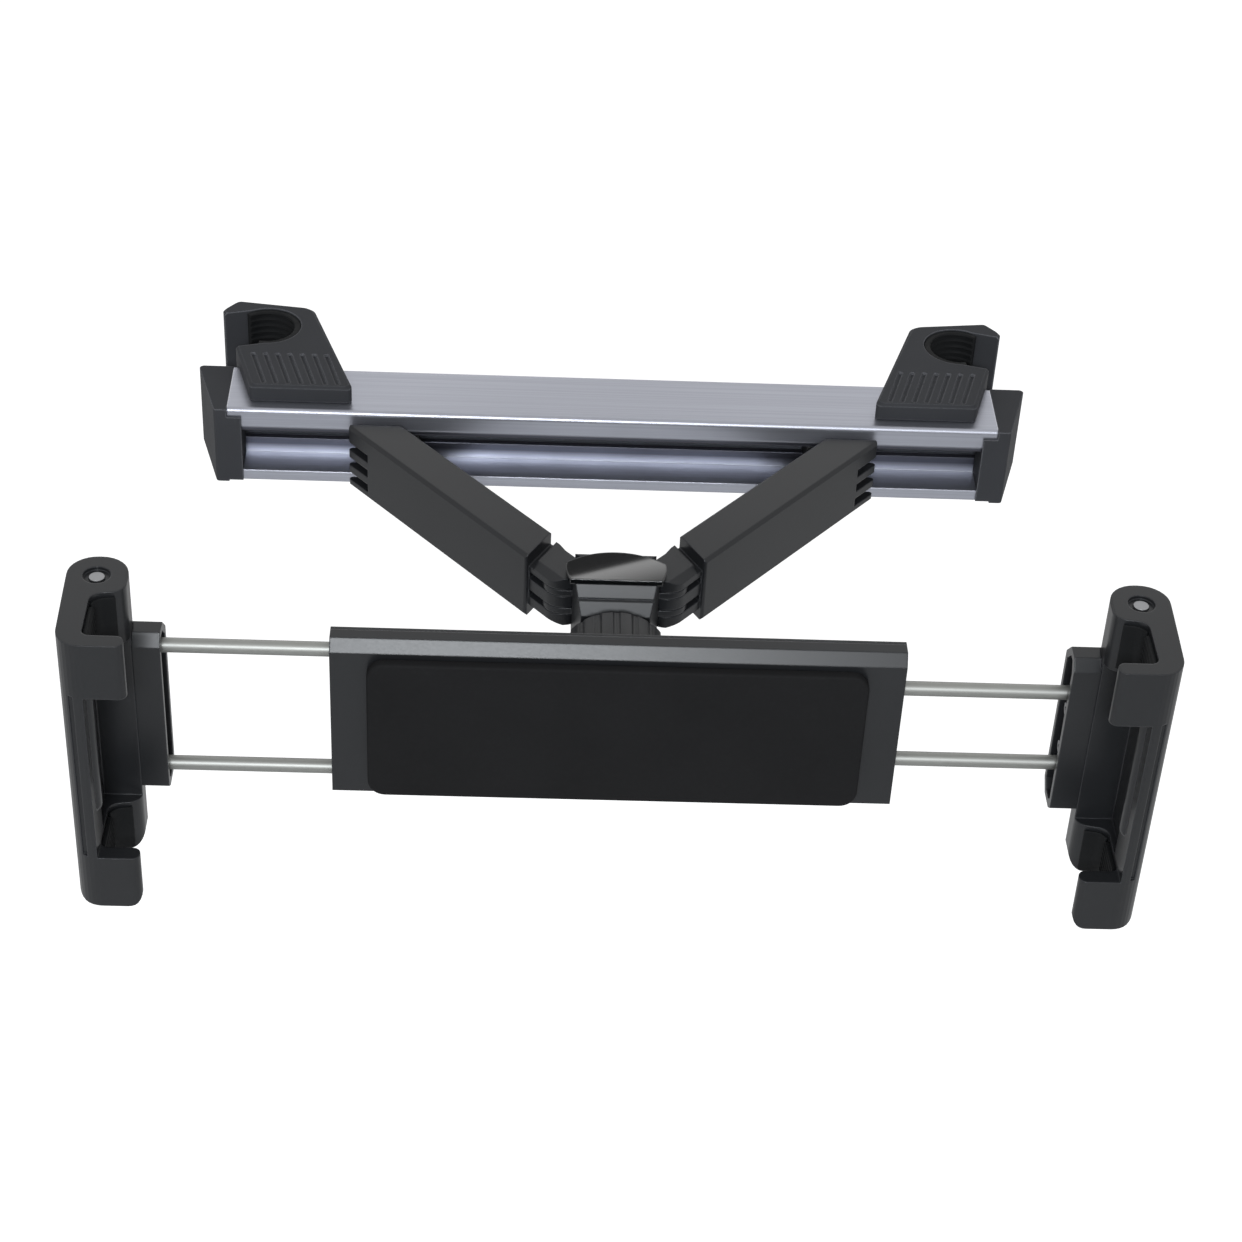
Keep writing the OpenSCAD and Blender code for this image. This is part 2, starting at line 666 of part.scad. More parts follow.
// Holder
module holder_profile(w) {
    y0 = -holder_y + w;
    y1 = holder_back_y - w;
    top = holder_h / 2 - w;
    low = -holder_h / 2 + bevel_h - low_bevel_h + w;
    in = bevel_d - 0.3 * w;
    nose = 0.2 * w;
    high_rear = rear_bevel - w / 2;
    low_rear = high_rear - bevel_h + low_bevel_h;
    translate([0, holder_mid]) polygon([[y0, top - bevel_h + nose], [y0 + in, top], [y1 - high_rear, top],
        [y1, top - high_rear], [y1, low + low_rear], [y1 - low_rear, low], [y0 + in, low],
        [y0, low + low_bevel_h - nose]]);
}
post_z = 4.5;
post_out_r = 1.8;
screw_places = [for (x = [-0.42, 0.42]) for (z = [-post_z, post_z]) [x * holder_l, holder_mid + z]];
module holder_shell() {
    difference() {
        along_x(-half_holder, half_holder) holder_profile(0);
        along_x(-half_holder - e, half_holder + e) holder_profile(holder_wall);
    }
}
// Screw posts that stand on the inner face of a shell, from one depth to another
module screw_posts(r, from, to) {
    for (p = screw_places) translate([p.x, from, p.y]) rotate([-90, 0, 0]) cylinder(r = r, h = to - from);
}
module holder_front() {
    color(dark) at_rail() difference() {
        union() {
            intersection() {
                holder_shell();
                translate([-holder_l, rod_y - holder_l, -holder_l])
                    cube([2 * holder_l, holder_l, 2 * holder_l]);
            }
            screw_posts(post_out_r, -holder_y + e, rod_y);
        }
        screw_posts(screw_r, -holder_y + holder_wall + 0.1, rod_y + e);
    }
}
module holder_back() {
    color(dark) at_rail() difference() {
        union() {
            intersection() {
                holder_shell();
                translate([-holder_l, rod_y, -holder_l]) cube([2 * holder_l, holder_d, 2 * holder_l]);
            }
            screw_posts(post_out_r, rod_y, holder_back_y - e);
        }
        screw_posts(screw_r + pin_fit, rod_y - e, holder_back_y);
        screw_posts(head_hole_r, holder_back_y - head_in, holder_back_y + e);
        at_ball() cylinder(r = boss_r + pin_fit, h = holder_y);
    }
}
head_hole_r = 1.6;
head_in = 1.2;
module holder_screws() {
    head_t = 1;
    recess = 0.2;
    thread_l = 2.5;
    seat = holder_back_y - head_in;
    color(steel) at_rail() difference() {
        union() {
            screw_posts(screw_r - pin_fit, rod_y - thread_l, seat + head_t / 2);
            screw_posts(head_hole_r - 0.1, seat, seat + head_t);
        }
        for (p = screw_places) translate([p.x, seat + head_t - 2 * recess, p.y]) rotate([-90, 0, 0])
            cylinder(r = head_t / 2, h = e, $fn = 6);
    }
}
// The pad's outline, smaller by an inset all round
module pad_plan(inset) {
    x = pad_l / 2 - inset;
    z = pad_h / 2 - inset;
    r = pad_r - inset;
    polygon(rounded([[-x, -z], [x, -z], [x, z], [-x, z]], [r, r, r, r]));
}
module holder_pad() {
    edge = 0.6;
    color(black) at_rail() translate([0, -holder_y, holder_mid]) rotate([90, 0, 0]) hull() {
        linear_extrude(pad_t - edge) pad_plan(0);
        linear_extrude(pad_t) pad_plan(edge);
    }
}

// Height of a rod: the left pair is the outer one
function rod_z(s, up) = holder_mid + up * (s < 0 ? outer_rods : inner_rods) / 2;
plate_gap = 0.1;
module rod_bore(s, r, from, l) {
    for (up = [-1, 1]) translate([from, rod_y, rod_z(s, up)]) rotate([0, 90, 0]) cylinder(r = r, h = l);
}
module end_plate(s) {
    x = half_holder - end_setback - end_plate_t;
    color(dark) at_rail() side(s) difference() {
        along_x(x, x + end_plate_t) holder_profile(holder_wall + plate_gap);
        rod_bore(s, rod_r + pin_fit, x - e, end_plate_t + 2 * e);
    }
}
module left_end_plate() { end_plate(-1); }
module right_end_plate() { end_plate(1); }
module rod_guide(s) {
    x = -guide_x;
    color(dark) at_rail() side(s) difference() {
        along_x(x, x + guide_l) holder_profile(holder_wall + plate_gap);
        rod_bore(s, rod_r + pin_fit, x - e, guide_l + 2 * e);
        rod_bore(-s, rod_r + collar_t + run_gap, x - e, guide_l + 2 * e);
    }
}
module left_rod_guide() { rod_guide(-1); }
module right_rod_guide() { rod_guide(1); }

// Jaws
corner_r = 3;
column_rise = 0.4;
column_r = 3.2;
rod_in = 0.6 * jaw_w;
pin_recess = 0.8;
pin_to_rod = 1.2;
jaw_pin_l = (jaw_h - outer_rods) / 2 - rod_r - pin_recess - pin_to_rod;
module jaw_plan() {
    column_corner = jaw_w / 2 - 0.4;
    lip_r = jaw_lip_t / 2 - 0.1;
    polygon(rounded([
        [column_x, jaw_back_y], [jaw_out_x, jaw_back_y], [jaw_out_x - 0.9, jaw_front_y],
        [column_x - lip_reach, jaw_front_y], [column_x - lip_reach, slot_front_y],
        [jaw_wall_x, slot_front_y], [jaw_wall_x, slot_back_y - 0.4], [column_x, slot_back_y + 0.6]],
        [column_corner, column_corner, 5, lip_r, lip_r, 1.6, 2.4, 3], 8));
}
// The jaw as seen from the front: the lips and the wall, then the column behind them
module jaw_faces() {
    lip_x = column_x - lip_reach;
    low = jaw_bottom + column_rise;
    rotate([90, 0, 0]) {
        translate([0, 0, -slot_back_y]) linear_extrude(jaw_slot + 2 * jaw_lip_t)
            polygon(rounded([[lip_x, jaw_bottom], [jaw_out_x, jaw_bottom], [jaw_out_x, jaw_top],
                [lip_x, jaw_top]], [corner_r, corner_r, 0.5, 0.5]));
        translate([0, 0, -jaw_back_y - e]) linear_extrude(column_d + 2 * e)
            polygon(rounded([[column_x, low], [jaw_out_x, low], [jaw_out_x, jaw_top],
                [column_x, jaw_top]], [column_r, corner_r, 0.5, 0.5]));
    }
}
// The middle of the jaw between its lips, cut back to the face of the block
module jaw_valley(lip_high, lip_low) {
    undercut = 1.3;
    undercut_front = slot_front_y + 5;
    wall_groove_x = jaw_wall_x + 2;
    valley_front = jaw_front_y - e;
    translate([0, 0, lip_high]) {
        translate([column_x - lip_reach - e, valley_front, 0])
            cube([jaw_wall_x - column_x + lip_reach + e, -holder_y - valley_front, lip_low - lip_high]);
        translate([jaw_wall_x - e, undercut_front, 0])
            cube([e + undercut, -holder_y - undercut_front, lip_low - lip_high]);
        translate([wall_groove_x, valley_front, 0]) cube([groove_w, e + 1.4, lip_low - lip_high]);
    }
}
module jaw(s) {
    lip_low = jaw_top - jaw_lip_h;
    lip_high = jaw_bottom + jaw_lip_h;
    rib_r = 1.9;
    rib_rise = 10;
    rib_low = lip_high + rib_rise;
    pin_l = jaw_pin_l + 2 * pin_recess;
    color(dark) at_rail() side(s) difference() {
        union() {
            difference() {
                intersection() {
                    translate([0, 0, jaw_bottom]) linear_extrude(jaw_h) jaw_plan();
                    jaw_faces();
                }
                jaw_valley(lip_high, lip_low);
            }
            translate([jaw_wall_x + rib_r / 2, slot_front_y + rib_r, rib_low]) {
                sphere(rib_r);
                cylinder(r = rib_r, h = lip_low - rib_low);
            }
        }
        rod_bore(s, rod_r + pin_fit, column_x - e, rod_in + e);
        for (up = [0, 1]) translate([pin_column_x, pin_column_y, holder_mid]) mirror([0, 0, up]) {
            translate([0, 0, jaw_h / 2 - pin_l]) cylinder(r = jaw_pin_r + pin_fit, h = pin_l + e);
            translate([0, 0, jaw_h / 2 - pin_recess]) cylinder(r = jaw_pin_r + 1.2, h = pin_recess + e);
        }
    }
}
module left_jaw() { jaw(-1); }
module right_jaw() { jaw(1); }
module jaw_block(s) {
    recess = 1.6;
    key = 2.4;
    color(dark) at_rail() side(s) difference() {
        along_x(jaw_x, column_x + key) holder_profile(0);
        along_x(jaw_x - e, jaw_x + recess) holder_profile(holder_wall);
        translate([0, 0, jaw_bottom - e]) linear_extrude(jaw_h + 2 * e) jaw_plan();
        translate([column_x + recess, -2 * holder_y, -holder_l]) cube([jaw_w, 2 * holder_y, 2 * holder_l]);
        rod_bore(s, rod_r + pin_fit, jaw_x, jaw_w);
    }
}
module left_jaw_block() { jaw_block(-1); }
module right_jaw_block() { jaw_block(1); }
module rod(s, up) {
    color(steel) at_rail() side(s) translate([-rod_end_x, rod_y, rod_z(s, up)]) rotate([0, 90, 0])
        cylinder(r = rod_r, h = rod_end_x + column_x + rod_in - run_gap);
}
module left_upper_rod() { rod(-1, 1); }
module left_lower_rod() { rod(-1, -1); }
module right_upper_rod() { rod(1, 1); }
module right_lower_rod() { rod(1, -1); }
module rod_collars(s) {
    color(steel) at_rail() side(s) difference() {
        rod_bore(s, rod_r + collar_t, -rod_end_x, collar_l);
        rod_bore(s, rod_r + pin_fit / 2, -rod_end_x - e, collar_l + 2 * e);
    }
}
module left_rod_collars() { rod_collars(-1); }
module right_rod_collars() { rod_collars(1); }
module rod_screws(s) {
    head_r = 1.3;
    head_t = 0.9;
    inset = 4.2;
    color(steel) at_rail() side(s) for (up = [-1, 1])
        translate([jaw_x + 1.6 - head_t, rod_y, rod_z(s, up) - up * inset]) rotate([0, 90, 0]) difference() {
            cylinder(r = head_r, h = head_t);
            translate([0, 0, -head_t / 2]) cylinder(r = head_r / 2, h = head_t, $fn = 6);
        }
}
module left_rod_screws() { rod_screws(-1); }
module right_rod_screws() { rod_screws(1); }
module jaw_pins(s) {
    color(steel) at_rail() side(s) for (up = [0, 1]) translate([pin_column_x, pin_column_y, holder_mid])
        mirror([0, 0, up]) translate([0, 0, jaw_h / 2 - pin_recess / 2 - jaw_pin_l])
            cylinder(r = jaw_pin_r, h = jaw_pin_l);
}
module left_jaw_pins() { jaw_pins(-1); }
module right_jaw_pins() { jaw_pins(1); }
module grip(s, up) {
    z = holder_mid + up * (jaw_h - jaw_lip_h) / 2;
    h = jaw_lip_h - 2;
    foot = 1.6;
    bend = 0.6;
    face_x = jaw_wall_x - grip_t;
    face_y = slot_front_y + grip_t;
    back_y = slot_back_y - 2.8;
    color(black) at_rail() side(s) translate([0, 0, z - h / 2]) linear_extrude(h)
        polygon([[jaw_wall_x, slot_front_y + foot], [jaw_wall_x, back_y], [face_x, back_y],
            [face_x, face_y + bend], [face_x - bend, face_y], [column_x, face_y], [column_x, slot_front_y],
            [jaw_wall_x - foot, slot_front_y], [jaw_wall_x - foot / 3, slot_front_y + foot / 3]]);
}
module left_upper_grip() { grip(-1, 1); }
module left_lower_grip() { grip(-1, -1); }
module right_upper_grip() { grip(1, 1); }
module right_lower_grip() { grip(1, -1); }

rail_extrusion();
left_end_cap();
right_end_cap();
left_hook();
right_hook();
left_hook_liner();
right_hook_liner();
left_slider_shoe();
right_slider_shoe();
left_slider_pin();
right_slider_pin();
left_arm();
right_arm();
left_arm_cover();
right_arm_cover();
hub_body();
hub_cap();
left_hub_pin();
right_hub_pin();
ball_stud();
ball_seat();
ball_socket();
collar_nut();
swivel_screw();
holder_front();
holder_back();
holder_pad();
left_end_plate();
right_end_plate();
left_rod_guide();
right_rod_guide();
holder_screws();
left_jaw();
right_jaw();
left_jaw_block();
right_jaw_block();
left_upper_rod();
left_lower_rod();
right_upper_rod();
right_lower_rod();
left_rod_collars();
right_rod_collars();
left_rod_screws();
right_rod_screws();
left_jaw_pins();
right_jaw_pins();
left_upper_grip();
left_lower_grip();
right_upper_grip();
right_lower_grip();
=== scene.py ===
"""Looks of the headrest tablet mount: materials, rubber pieces, light and camera.
Lengths are in metres, in the frame of the CAD model. The tablet side faces -Y."""
import json
import math

import bpy
from mathutils import Matrix, Vector


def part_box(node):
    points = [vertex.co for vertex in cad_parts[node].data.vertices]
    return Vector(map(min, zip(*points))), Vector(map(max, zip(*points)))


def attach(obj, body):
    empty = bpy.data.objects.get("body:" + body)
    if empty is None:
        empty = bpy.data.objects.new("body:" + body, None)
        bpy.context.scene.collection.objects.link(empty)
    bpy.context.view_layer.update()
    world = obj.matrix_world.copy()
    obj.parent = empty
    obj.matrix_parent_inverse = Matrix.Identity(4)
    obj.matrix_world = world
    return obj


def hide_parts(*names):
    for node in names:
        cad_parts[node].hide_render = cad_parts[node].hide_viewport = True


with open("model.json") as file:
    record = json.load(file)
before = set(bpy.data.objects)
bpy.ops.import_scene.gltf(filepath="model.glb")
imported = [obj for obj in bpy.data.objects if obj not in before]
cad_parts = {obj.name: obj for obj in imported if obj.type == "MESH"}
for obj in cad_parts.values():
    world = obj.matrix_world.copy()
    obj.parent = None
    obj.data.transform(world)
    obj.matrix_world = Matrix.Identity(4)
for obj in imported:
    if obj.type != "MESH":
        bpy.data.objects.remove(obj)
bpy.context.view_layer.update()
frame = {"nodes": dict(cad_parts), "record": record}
MM = 0.001
WHITE, BLACK = (1.0, 1.0, 1.0, 1.0), (0.0, 0.0, 0.0, 1.0)


# Colour and shader helpers

def linear(hex_colour):
    """An sRGB hex colour as linear red, green, blue and alpha."""
    parts = [int(hex_colour[i:i + 2], 16) / 255 for i in (1, 3, 5)]
    return tuple(c / 12.92 if c <= 0.04045 else ((c + 0.055) / 1.055) ** 2.4 for c in parts) + (1.0,)


def shade(colour, factor):
    """A linear colour made darker or paler, with its alpha kept."""
    return tuple(min(1.0, c * factor) for c in colour[:3]) + (1.0,)


def add_node(tree, kind, inputs=None, output=None, **settings):
    """Adds a node with its settings, and sets or links its inputs, which go by their identifiers.
    Returns the node, or the one output that is asked for."""
    node = tree.nodes.new(kind)
    for name, value in settings.items():
        setattr(node, name, value)
    for name, value in (inputs or {}).items():
        socket = next(s for s in node.inputs if s.identifier == name)
        if isinstance(value, bpy.types.NodeSocket):
            tree.links.new(value, socket)
        else:
            socket.default_value = value
    return next(s for s in node.outputs if s.identifier == output) if output else node


def new_material(name, constants):
    """A material with its Principled shader, the constants of that shader, and object coordinates."""
    material = bpy.data.materials.new(name)
    material.use_nodes = True
    tree = material.node_tree
    tree.nodes.clear()
    shader = add_node(tree, "ShaderNodeBsdfPrincipled", constants)
    add_node(tree, "ShaderNodeOutputMaterial", {"Surface": shader.outputs["BSDF"]})
    return material, tree, shader, add_node(tree, "ShaderNodeTexCoord", output="Object")


def rounded_normals(tree, radius):
    """Normals that turn gently over the sharp edges."""
    return add_node(tree, "ShaderNodeBevel", {"Radius": radius}, "Normal", samples=6)


def rubbed_and_highlit_edges(tree, rounded):
    """Near 1 on the edges, where the rounded normals leave the face: the mask for edges rubbed by handling
    and for painted edge highlights.
    """
    face = add_node(tree, "ShaderNodeNewGeometry", output="Normal")
    along = add_node(tree, "ShaderNodeVectorMath", {"Vector": rounded, "Vector_001": face}, "Value",
                     operation="DOT_PRODUCT")
    on_face, on_edge = 0.985, 0.75
    return add_node(tree, "ShaderNodeMapRange",
                    {"Value": along, "From Min": on_face, "From Max": on_edge}, "Result")


def finish_shader(tree, shader, colour, roughness, height, rounded, strength, distance):
    """Links colour, roughness and a bump over the rounded normals into the shader."""
    bump = add_node(tree, "ShaderNodeBump", {"Height": height, "Normal": rounded, "Strength": strength,
                                             "Distance": distance}, "Normal")
    for name, value in (("Base Color", colour), ("Roughness", roughness), ("Normal", bump)):
        tree.links.new(value, shader.inputs[name])


def corners(node_name):
    """The lowest and the highest corner of a CAD piece."""
    low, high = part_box(node_name)
    return Vector(low), Vector(high)


# Materials

NOISE_LOW, NOISE_HIGH = 0.3, 0.7    # most of a noise's values lie between these


def moulded_plastic(name, hex_colour, edge_wear_and_highlight_hex, roughness, grain=0.015, gloss=0.27, edge_r=0.4 * MM):
    """Plastic from a spark-eroded mould: a fine even grain, flow clouds, and paler edges that are partly
    rubbed and partly a painted highlight.
    The mould's real grain is under 0.1 mm, and is drawn coarser so that it shows."""
    spark, cloud, grain_h = 0.4167 * MM, 22.2 * MM, 0.1 * MM
    material, tree, shader, place = new_material(name, {"Specular IOR Level": gloss})
    rounded = rounded_normals(tree, edge_r)
    sparks = add_node(tree, "ShaderNodeTexNoise",
                      {"Vector": place, "Scale": 1 / spark, "Detail": 3.0, "Roughness": 0.6}, "Fac")
    clouds = add_node(tree, "ShaderNodeTexNoise",
                      {"Vector": place, "Scale": 1 / cloud, "Detail": 2.0}, "Fac")
    flow = add_node(tree, "ShaderNodeMapRange",
                    {"Value": clouds, "From Min": NOISE_LOW, "From Max": NOISE_HIGH}, "Result")
    base = linear(hex_colour)
    body = add_node(tree, "ShaderNodeMix",
                    {"Factor_Float": flow, "A_Color": shade(base, 0.92), "B_Color": shade(base, 1.08)},
                    "Result_Color", data_type="RGBA")
    # Paler edges, broken up by the grain: partly wear, partly a painted highlight.
    wear_and_highlight = add_node(tree, "ShaderNodeMath", {"Value": rubbed_and_highlit_edges(tree, rounded), "Value_001": sparks},
                    "Value", operation="MULTIPLY")
    colour = add_node(tree, "ShaderNodeMix",
                      {"Factor_Float": wear_and_highlight, "A_Color": body, "B_Color": linear(edge_wear_and_highlight_hex)},
                      "Result_Color", data_type="RGBA")
    rough = add_node(tree, "ShaderNodeMapRange",
                     {"Value": sparks, "From Min": NOISE_LOW, "From Max": NOISE_HIGH,
                      "To Min": 0.95 * roughness, "To Max": 1.06 * roughness}, "Result")
    finish_shader(tree, shader, colour, rough, sparks, rounded, strength=grain, distance=grain_h)
    return material


def soft_rubber(name, hex_colour, roughness):
    """Silicone rubber with a matt skin: faint dust, a little lint in the colour, no clear highlight."""
    speck, cloud, speck_h, edge_r = 1.111 * MM, 16.67 * MM, 0.1 * MM, 0.3 * MM
    material, tree, shader, place = new_material(name, {"Specular IOR Level": 0.1})
    rounded = rounded_normals(tree, edge_r)
    dust = add_node(tree, "ShaderNodeTexNoise", {"Vector": place, "Scale": 1 / speck, "Detail": 4.0}, "Fac")
    clouds = add_node(tree, "ShaderNodeTexNoise",
                      {"Vector": place, "Scale": 1 / cloud, "Detail": 2.0}, "Fac")
    lint = add_node(tree, "ShaderNodeMapRange", {"Value": dust, "From Min": 0.55, "From Max": 0.8}, "Result")
    dull = add_node(tree, "ShaderNodeMapRange",
                    {"Value": clouds, "From Min": 0.35, "From Max": 0.7}, "Result")
    base = linear(hex_colour)
    speckled = add_node(tree, "ShaderNodeMix",
                        {"Factor_Float": lint, "A_Color": base, "B_Color": shade(base, 1.3)},
                        "Result_Color", data_type="RGBA")
    colour = add_node(tree, "ShaderNodeMix",
                      {"Factor_Float": dull, "A_Color": speckled, "B_Color": shade(base, 0.88)},
                      "Result_Color", data_type="RGBA")
    rough = add_node(tree, "ShaderNodeMapRange",
                     {"Value": dust, "From Min": NOISE_LOW, "From Max": NOISE_HIGH,
                      "To Min": roughness - 0.05, "To Max": roughness + 0.05}, "Result")
    finish_shader(tree, shader, colour, rough, dust, rounded, strength=0.06, distance=speck_h)
    return material


def drawn_aluminium(name, hex_colour, channel_shade_hex, edge_wear_and_highlight_hex, roughness):
    """Anodised extrusion: satin lavender grey, drawing lines along its length, a painted shade up inside the
    channel and a painted highlight on the top's edge. The real lines are finer, and are drawn wide enough to
    show."""
    line_l, line_w, line_h, patch, edge_r = 83.33 * MM, 0.4167 * MM, 0.05 * MM, 33.33 * MM, 0.5 * MM
    low, high = corners("rail_extrusion")
    channel_back, behind = low.y + 9.0 * MM, low.y + 9.5 * MM
    shade_end, shade_full = high.z - 15.6 * MM, high.z - 13.8 * MM
    roof, over_roof = high.z - 5.2 * MM, high.z - 4.5 * MM
    edge_start, edge_full = high.z - 1.5 * MM, high.z - 0.8 * MM
    material, tree, shader, place = new_material(name, {"Metallic": 0.85})
    rounded = rounded_normals(tree, edge_r)
    line_scale = (1 / line_l, 1 / line_w, 1 / line_w)
    stretched = add_node(tree, "ShaderNodeMapping", {"Vector": place, "Scale": line_scale}, "Vector")
    lines = add_node(tree, "ShaderNodeTexNoise", {"Vector": stretched, "Scale": 1.0, "Detail": 3.0}, "Fac")
    broad = add_node(tree, "ShaderNodeTexNoise", {"Vector": place, "Scale": 1 / patch, "Detail": 2.0}, "Fac")
    axes = add_node(tree, "ShaderNodeSeparateXYZ", {"Vector": place}).outputs
    # Painted shade: darker in the front 9 mm of the rail, from 5.2 to 13.8 mm under its top, up inside the
    # channel.
    channel_shade = 1.0
    for axis, start, full in (("Y", behind, channel_back), ("Z", shade_end, shade_full),
                              ("Z", over_roof, roof)):
        inside = add_node(tree, "ShaderNodeMapRange",
                          {"Value": axes[axis], "From Min": start, "From Max": full}, "Result")
        channel_shade = add_node(tree, "ShaderNodeMath", {"Value": channel_shade, "Value_001": inside}, "Value",
                              operation="MULTIPLY")
    tone = add_node(tree, "ShaderNodeMapRange",
                    {"Value": lines, "From Min": 0.35, "From Max": 0.65}, "Result")
    base = linear(hex_colour)
    body = add_node(tree, "ShaderNodeMix",
                    {"Factor_Float": tone, "A_Color": shade(base, 0.94), "B_Color": shade(base, 1.06)},
                    "Result_Color", data_type="RGBA")
    # Mixes the painted shade of the channel into the colour.
    shaded_body = add_node(tree, "ShaderNodeMix",
                         {"Factor_Float": channel_shade, "A_Color": body, "B_Color": linear(channel_shade_hex)},
                         "Result_Color", data_type="RGBA")
    # Painted highlight: the edges near the top are turned near white.
    near_top = add_node(tree, "ShaderNodeMapRange",
                        {"Value": axes["Z"], "From Min": edge_start, "From Max": edge_full}, "Result")
    top_edge_highlight = add_node(tree, "ShaderNodeMath",
                        {"Value": rubbed_and_highlit_edges(tree, rounded), "Value_001": near_top}, "Value",
                        operation="MULTIPLY")
    colour = add_node(tree, "ShaderNodeMix",
                      {"Factor_Float": top_edge_highlight, "A_Color": shaded_body, "B_Color": linear(edge_wear_and_highlight_hex)},
                      "Result_Color", data_type="RGBA")
    rough = add_node(tree, "ShaderNodeMapRange",
                     {"Value": broad, "From Min": NOISE_LOW, "From Max": NOISE_HIGH,
                      "To Min": roughness - 0.03, "To Max": roughness + 0.04}, "Result")
    finish_shader(tree, shader, colour, rough, lines, rounded, strength=0.05, distance=line_h)
    return material


def ground_steel(name, hex_colour, roughness):
    """Centreless-ground steel: a soft grey shine, with faint rings from the wheel.
    The real rings are finer, and are drawn wide enough to show."""
    ring_w, ring_across, ring_h, edge_r = 3.846 * MM, 25.0 * MM, 0.01 * MM, 0.15 * MM
    material, tree, shader, place = new_material(name, {"Metallic": 1.0})
    rounded = rounded_normals(tree, edge_r)
    ring_scale = (1 / ring_w, 1 / ring_across, 1 / ring_across)
    stretched = add_node(tree, "ShaderNodeMapping", {"Vector": place, "Scale": ring_scale}, "Vector")
    rings = add_node(tree, "ShaderNodeTexNoise", {"Vector": stretched, "Scale": 1.0, "Detail": 2.0}, "Fac")
    tone = add_node(tree, "ShaderNodeMapRange",
                    {"Value": rings, "From Min": 0.35, "From Max": 0.65}, "Result")
    base = linear(hex_colour)
    colour = add_node(tree, "ShaderNodeMix",
                      {"Factor_Float": tone, "A_Color": shade(base, 0.96), "B_Color": base},
                      "Result_Color", data_type="RGBA")
    rough = add_node(tree, "ShaderNodeMapRange",
                     {"Value": rings, "From Min": NOISE_LOW, "From Max": NOISE_HIGH,
                      "To Min": roughness - 0.02, "To Max": roughness + 0.02}, "Result")
    finish_shader(tree, shader, colour, rough, rings, rounded, strength=0.005, distance=ring_h)
    return material


# Glass-filled nylon of the arms, the hub, the holder and the jaws: near black with a satin sheen.
nylon = moulded_plastic("moulded_nylon", "#202123", "#45464a", roughness=0.3)
# Running parts of the same nylon, hardly seen: duller.
nylon_inner = moulded_plastic("inner_nylon", "#191a1b", "#2c2d2f", roughness=0.5)
# Coarser nylon of the hooks and the end caps: dull dark grey, with pale lines along the edges that are a
# painted highlight.
hook_nylon = moulded_plastic("hook_nylon", "#36373a", "#8c8d92", roughness=0.6, gloss=0.1,
                             edge_r=0.6 * MM)
# Polished ABS of the hub's cap: black, and it mirrors the studio.
polished_abs = moulded_plastic("polished_abs", "#0e0f10", "#3a3b3c", roughness=0.022, grain=0.0,
                               gloss=0.5)
# Moulded silicone of the holder's pad: soft black that swallows light.
pad_rubber = soft_rubber("pad_rubber", "#1a1a1b", roughness=0.72)
# Silicone of the grips and the post linings: black, a little smoother.
grip_rubber = soft_rubber("grip_rubber", "#161718", roughness=0.6)
# Anodised aluminium of the rail: satin lavender grey, with a painted shade in its channel and a bright front
# edge that is a painted highlight.
anodised = drawn_aluminium("anodised_aluminium", "#9c9ea7", channel_shade_hex="#46474f", edge_wear_and_highlight_hex="#eceef4",
                           roughness=0.34)
# Steel of the rods and, a little smoother, of the pins and screws.
rod_steel = ground_steel("ground_rod_steel", "#8f908d", roughness=0.48)
pin_steel = ground_steel("pin_steel", "#8f9092", roughness=0.4)

FINISH = {"rail_extrusion": anodised, "hub_cap": polished_abs, "ball_seat": grip_rubber}


def finish_of(node_name):
    """The material that a CAD piece is made of, from its name."""
    if node_name in FINISH:
        return FINISH[node_name]
    if "hook" in node_name or "end_cap" in node_name:
        return hook_nylon
    if "shoe" in node_name or "guide" in node_name:
        return nylon_inner
    if "screw" in node_name or "pin" in node_name or "stud" in node_name:
        return pin_steel
    return rod_steel if "rod" in node_name else nylon


for node_name, node_object in frame["nodes"].items():
    for material_slot in node_object.material_slots:
        material_slot.material = finish_of(node_name)


# Rubber pieces

SHARP = math.radians(50)     # a turn that gets a soft edge
SMOOTH = math.radians(35)    # a turn that is shaded round


def add_plane(side):
    """A square plane at the origin, alone in the selection."""
    bpy.ops.object.select_all(action="DESELECT")
    bpy.ops.mesh.primitive_plane_add(size=side)
    return bpy.context.object


def add_modifier(piece, kind, **settings):
    """Adds a modifier with its settings."""
    modifier = piece.modifiers.new(kind.lower(), kind)
    for name, value in settings.items():
        setattr(modifier, name, value)


def keep_mesh(piece, name, material):
    """Applies a piece's place and modifiers, shades it smooth, and gives it its name and material."""
    bpy.ops.object.select_all(action="DESELECT")
    piece.select_set(True)
    bpy.context.view_layer.objects.active = piece
    bpy.ops.object.transform_apply(location=True, rotation=True, scale=True)
    for modifier in list(piece.modifiers):
        bpy.ops.object.modifier_apply(modifier=modifier.name)
    bpy.ops.object.mode_set(mode="EDIT")
    bpy.ops.mesh.select_all(action="SELECT")
    bpy.ops.mesh.normals_make_consistent(inside=False)
    bpy.ops.object.mode_set(mode="OBJECT")
    bpy.ops.object.shade_smooth_by_angle(angle=SMOOTH)
    piece.name = name
    piece.data.materials.clear()
    piece.data.materials.append(material)


